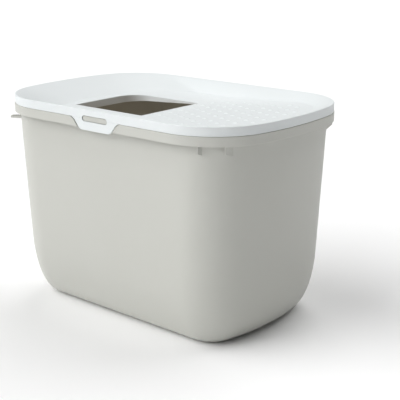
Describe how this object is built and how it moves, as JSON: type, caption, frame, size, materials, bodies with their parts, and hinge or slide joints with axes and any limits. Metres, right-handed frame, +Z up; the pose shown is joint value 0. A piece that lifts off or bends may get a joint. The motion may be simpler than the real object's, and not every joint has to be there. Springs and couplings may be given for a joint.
{
  "type": "top entry litter box",
  "caption": "Top entry litter box: deep tapered tub with a dished, nubbed lid, an entrance hole at one end and a flexing latch tab on each long side.",
  "frame": {"origin": "on the floor, under the middle of the tub's length and width", "axes": "+X along the length, away from the entrance hole, -Y towards the front long side, +Z up"},
  "size_m": [0.585, 0.39, 0.395],
  "materials": {
    "tub_plastic": "moulded polypropylene, warm light grey, fine matte grain",
    "lid_plastic": "moulded polypropylene, cool white, satin",
    "foot_rubber": "black rubber, matte"
  },
  "bodies": {
    "tub": {"tub": "tub_plastic", "foot_front_right": "foot_rubber", "foot_front_left": "foot_rubber", "foot_back_right": "foot_rubber", "foot_back_left": "foot_rubber"},
    "lid": {"lid": "lid_plastic"},
    "front_latch": {"front_latch": "lid_plastic"},
    "back_latch": {"back_latch": "lid_plastic"}
  },
  "joints": [
    {"name": "lid_lift", "type": "slide", "parent": "tub", "child": "lid", "axis": [0, 0, 1], "range_m": [0, 0.3]},
    {"name": "front_latch_flex", "type": "hinge", "parent": "lid", "child": "front_latch", "pos_m": [0, -0.1942, 0.3793], "axis": [-1, 0, 0], "range_deg": [0, 20], "stiffness_Nm_per_rad": 0.5},
    {"name": "back_latch_flex", "type": "hinge", "parent": "lid", "child": "back_latch", "pos_m": [0, 0.1942, 0.3793], "axis": [1, 0, 0], "range_deg": [0, 20], "stiffness_Nm_per_rad": 0.5}
  ]
}
